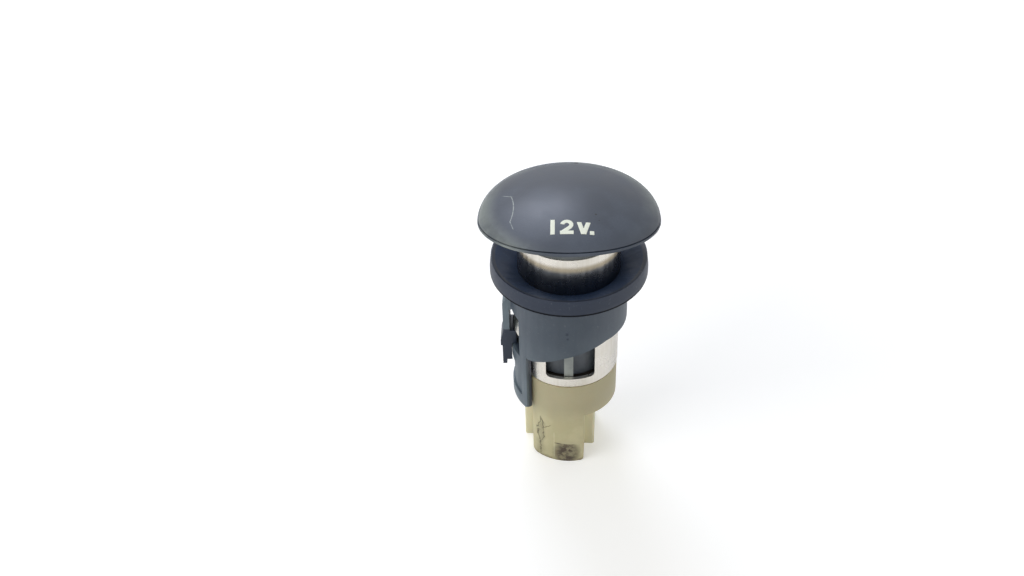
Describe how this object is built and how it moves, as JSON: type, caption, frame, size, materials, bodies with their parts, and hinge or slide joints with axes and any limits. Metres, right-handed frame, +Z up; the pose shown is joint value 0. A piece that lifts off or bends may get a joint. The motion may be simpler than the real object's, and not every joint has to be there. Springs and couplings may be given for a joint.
{
  "type": "car 12v power socket",
  "caption": "Round dashboard power socket with a metal barrel, black bezel with snap latch and leg, cream connector below and a domed pull-out dust cap.",
  "frame": {"origin": "on the bore's axis, in the plane of the connector's bottom edge, which is the centre of the underside of the part's box", "axes": "+Z up along the bore towards the cap, -Y the side seen in the picture, -X towards the latch"},
  "size_m": [0.04, 0.0362, 0.071],
  "materials": {
    "cap_plastic": "fine textured black",
    "plug_plastic": "moulded black",
    "bezel_plastic": "dusty satin black",
    "barrel_metal": "satin nickel plated, drawn",
    "spring_steel": "plain rolled",
    "zinc_steel": "zinc plated",
    "contact_brass": "plain stamped",
    "tinned_brass": "tinned",
    "phenolic": "pressed brown",
    "cream_nylon": "aged cream, moulded"
  },
  "bodies": {
    "socket": {"barrel_shell": "barrel_metal", "bezel_housing": "bezel_plastic", "insulator_disc": "phenolic", "centre_contact": "contact_brass", "contact_stud": "zinc_steel", "ground_terminal": "tinned_brass", "positive_terminal": "tinned_brass", "plain_washer": "zinc_steel", "split_washer": "spring_steel", "hex_nut": "zinc_steel", "connector_housing": "cream_nylon"},
    "cap": {"cap_dome": "cap_plastic", "cap_plug": "plug_plastic", "plug_band": "spring_steel", "cap_washer": "zinc_steel", "cap_screw": "zinc_steel"}
  },
  "joints": [
    {"name": "cap_pull", "type": "slide", "parent": "socket", "child": "cap", "axis": [0, 0, 1], "range_m": [0, 0.045]}
  ]
}
